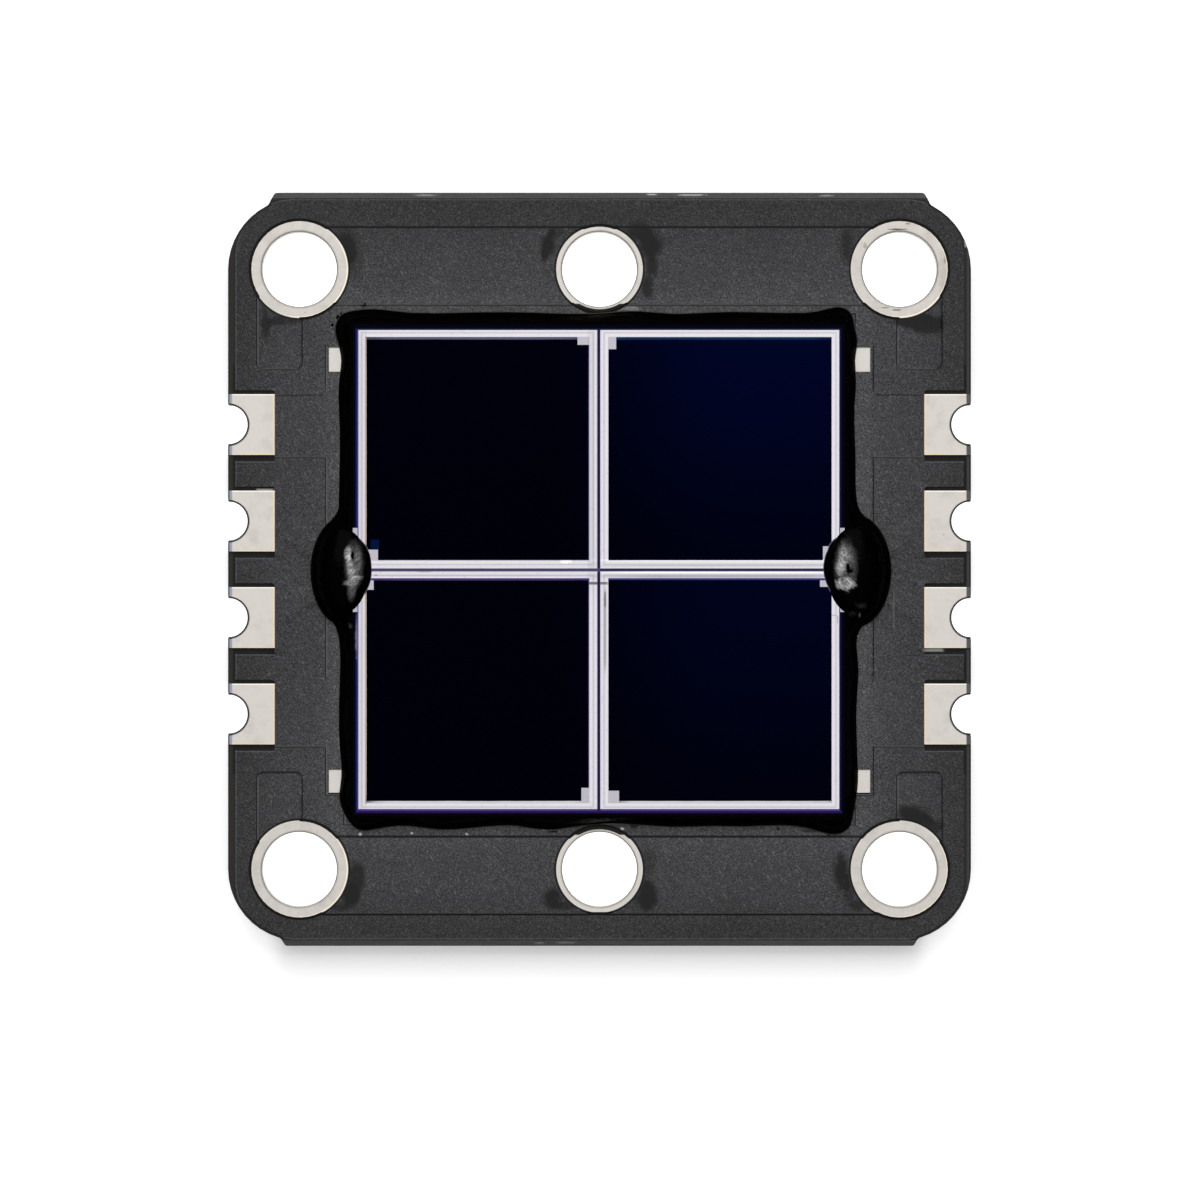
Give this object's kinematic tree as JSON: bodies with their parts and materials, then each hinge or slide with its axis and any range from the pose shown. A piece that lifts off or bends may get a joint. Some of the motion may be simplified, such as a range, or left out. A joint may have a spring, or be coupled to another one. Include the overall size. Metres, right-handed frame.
{
  "type": "four-quadrant photodiode on a castellated circuit board",
  "caption": "Square quadrant photodiode: a dark silicon die sealed in black epoxy on a castellated black circuit board with plated holes.",
  "frame": {"origin": "middle of the board at the faces of the back pads, on which it rests", "axes": "+Z out of the light-sensitive face; +Y towards one V-scored edge; +X towards the castellated edge on the right, seen from the front"},
  "size_m": [0.0154, 0.0156, 0.0016],
  "materials": {
    "laminate": "dark glass-epoxy laminate, rough cut edges",
    "solder_mask": "matte charcoal solder mask with fine grain",
    "plated_copper": "pale warm grey tinned copper, satin",
    "die_attach": "grey silver-filled adhesive",
    "silicon": "polished silicon with a dark blue oxide",
    "active_window": "near-black blue anti-reflection coating, glossy",
    "chip_metal": "bright evaporated aluminium",
    "bond_wire": "drawn gold wire",
    "black_epoxy": "glossy black epoxy"
  },
  "bodies": {
    "root": {"laminate": "laminate", "solder_mask_front": "solder_mask", "solder_mask_back": "solder_mask", "ground_copper_upper": "plated_copper", "ground_copper_lower": "plated_copper", "cathode_copper": "plated_copper", "anode_track_left_upper": "plated_copper", "anode_track_left_lower": "plated_copper", "anode_track_right_upper": "plated_copper", "anode_track_right_lower": "plated_copper", "die_attach": "die_attach", "silicon_die": "silicon", "active_window_upper_left": "active_window", "active_window_upper_right": "active_window", "active_window_lower_left": "active_window", "active_window_lower_right": "active_window", "anode_frame_upper_left": "chip_metal", "anode_frame_upper_right": "chip_metal", "anode_frame_lower_left": "chip_metal", "anode_frame_lower_right": "chip_metal", "edge_contact_left": "chip_metal", "edge_contact_right": "chip_metal", "bond_wire_left_upper": "bond_wire", "bond_wire_left_lower": "bond_wire", "bond_wire_right_upper": "bond_wire", "bond_wire_right_lower": "bond_wire", "die_edge_seal": "black_epoxy", "glob_top_left": "black_epoxy", "glob_top_right": "black_epoxy"}
  },
  "joints": []
}
